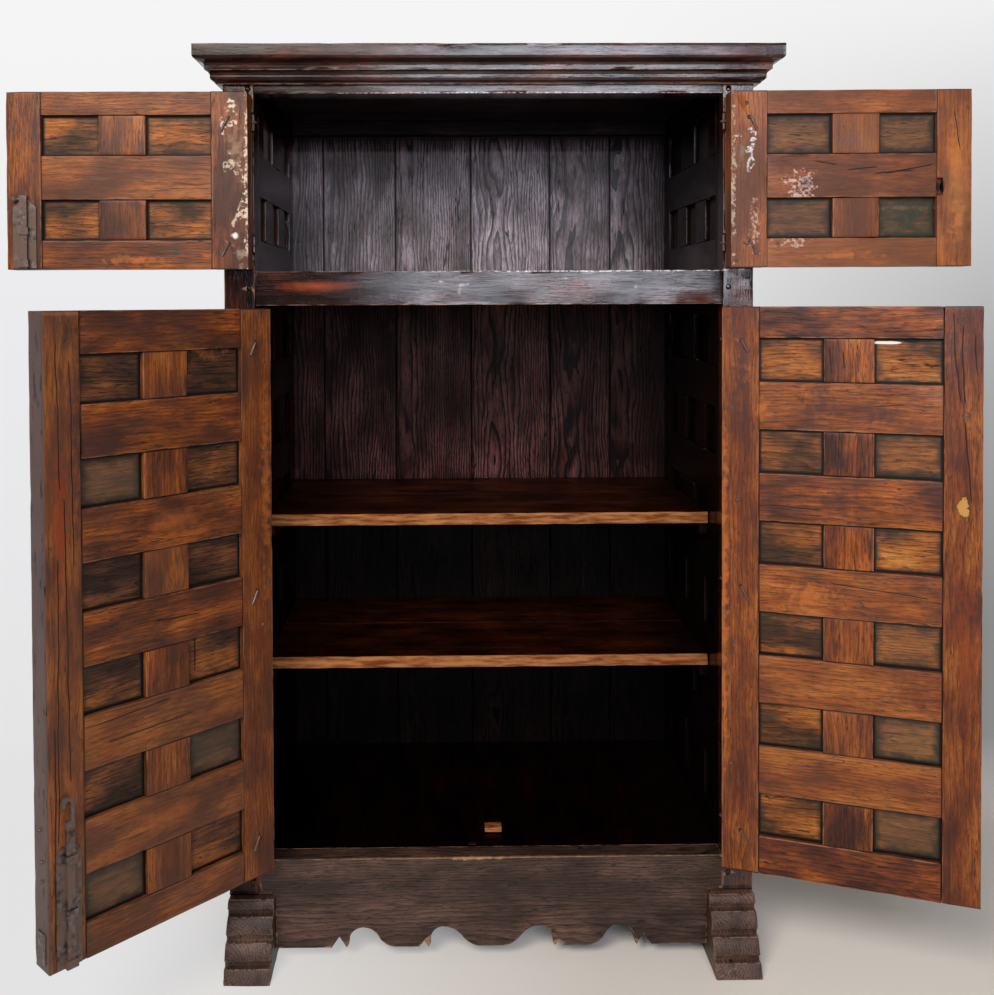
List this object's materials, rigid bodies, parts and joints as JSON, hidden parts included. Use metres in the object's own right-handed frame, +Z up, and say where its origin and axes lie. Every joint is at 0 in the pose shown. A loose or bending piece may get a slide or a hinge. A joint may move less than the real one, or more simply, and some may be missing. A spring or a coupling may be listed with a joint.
{
  "type": "trastero cabinet",
  "caption": "Tall wooden cupboard in two tiers with framed and panelled doors, shelves, slide bolts, scalloped apron and sledge feet.",
  "frame": {"origin": "On the floor, at the middle of the box around the cupboard with its doors open as they stand at rest.", "axes": "+X to the right seen from the front, +Y to the back, +Z up. The doors face -Y."},
  "size_m": [1.8556, 0.9636, 1.822],
  "materials": {
    "carcass_wood": "near-black red-brown pine, waxed and worn",
    "door_wood": "red-brown pine with dark streaks and pale wear",
    "panel_wood": "grey-brown pine, darker at the edges",
    "back_wood": "dull purple-brown pine, unwaxed",
    "shelf_wood": "dark brown pine with lighter worn front edges",
    "wrought_iron": "forged iron, dark and slightly rusted"
  },
  "bodies": {
    "root": {"left_foot": "carcass_wood", "right_foot": "carcass_wood", "back_rails": "back_wood", "left_side_rails": "carcass_wood", "left_side_muntins": "carcass_wood", "left_side_panels": "panel_wood", "right_side_rails": "carcass_wood", "right_side_muntins": "carcass_wood", "right_side_panels": "panel_wood", "frame_pegs": "carcass_wood", "top_rail": "carcass_wood", "mid_rail": "carcass_wood", "apron": "carcass_wood", "front_left_post": "carcass_wood", "front_right_post": "carcass_wood", "back_left_post": "carcass_wood", "back_right_post": "carcass_wood", "hinge_pintles": "wrought_iron", "cornice_front": "carcass_wood", "cornice_left": "carcass_wood", "cornice_right": "carcass_wood", "top_boards": "back_wood", "back_boards": "back_wood", "floor_boards": "shelf_wood", "deck_boards": "shelf_wood", "lower_shelf": "shelf_wood", "upper_shelf": "shelf_wood", "cleats": "shelf_wood", "floor_chock": "shelf_wood"},
    "lower_left_bolt": {"lower_left_bolt_bar": "wrought_iron"},
    "lower_left_door": {"lower_left_hinge_stile": "door_wood", "lower_left_closing_stile": "door_wood", "lower_left_rails": "door_wood", "lower_left_muntins": "door_wood", "lower_left_panels": "panel_wood", "lower_left_hinge_eyes": "wrought_iron", "lower_left_bolt_plate": "wrought_iron", "lower_left_bolt_staples": "wrought_iron"},
    "lower_right_door": {"lower_right_hinge_stile": "door_wood", "lower_right_closing_stile": "door_wood", "lower_right_rails": "door_wood", "lower_right_muntins": "door_wood", "lower_right_panels": "panel_wood", "lower_right_hinge_eyes": "wrought_iron"},
    "upper_left_bolt": {"upper_left_bolt_bar": "wrought_iron"},
    "upper_left_door": {"upper_left_hinge_stile": "door_wood", "upper_left_closing_stile": "door_wood", "upper_left_rails": "door_wood", "upper_left_muntins": "door_wood", "upper_left_panels": "panel_wood", "upper_left_hinge_eyes": "wrought_iron", "upper_left_bolt_plate": "wrought_iron", "upper_left_bolt_staples": "wrought_iron"},
    "upper_right_door": {"upper_right_hinge_stile": "door_wood", "upper_right_closing_stile": "door_wood", "upper_right_rails": "door_wood", "upper_right_muntins": "door_wood", "upper_right_panels": "panel_wood", "upper_right_hinge_eyes": "wrought_iron"}
  },
  "joints": [
    {"name": "lower_left_hinge", "type": "hinge", "parent": "root", "child": "lower_left_door", "pos_m": [-0.465, -0.11122, 0], "axis": [0, 0, -1], "range_deg": [-134, 46]},
    {"name": "lower_right_hinge", "type": "hinge", "parent": "root", "child": "lower_right_door", "pos_m": [0.465, -0.11122, 0], "axis": [0, 0, 1], "range_deg": [-160, 20]},
    {"name": "upper_left_hinge", "type": "hinge", "parent": "root", "child": "upper_left_door", "pos_m": [-0.465, -0.11122, 0], "axis": [0, 0, -1], "range_deg": [-180, 0]},
    {"name": "upper_right_hinge", "type": "hinge", "parent": "root", "child": "upper_right_door", "pos_m": [0.465, -0.11122, 0], "axis": [0, 0, 1], "range_deg": [-178, 2]},
    {"name": "lower_left_bolt_slide", "type": "slide", "parent": "lower_left_door", "child": "lower_left_bolt", "axis": [0, 0, -1], "range_m": [0, 0.026]},
    {"name": "upper_left_bolt_slide", "type": "slide", "parent": "upper_left_door", "child": "upper_left_bolt", "axis": [0, 0, -1], "range_m": [0, 0.026]}
  ]
}
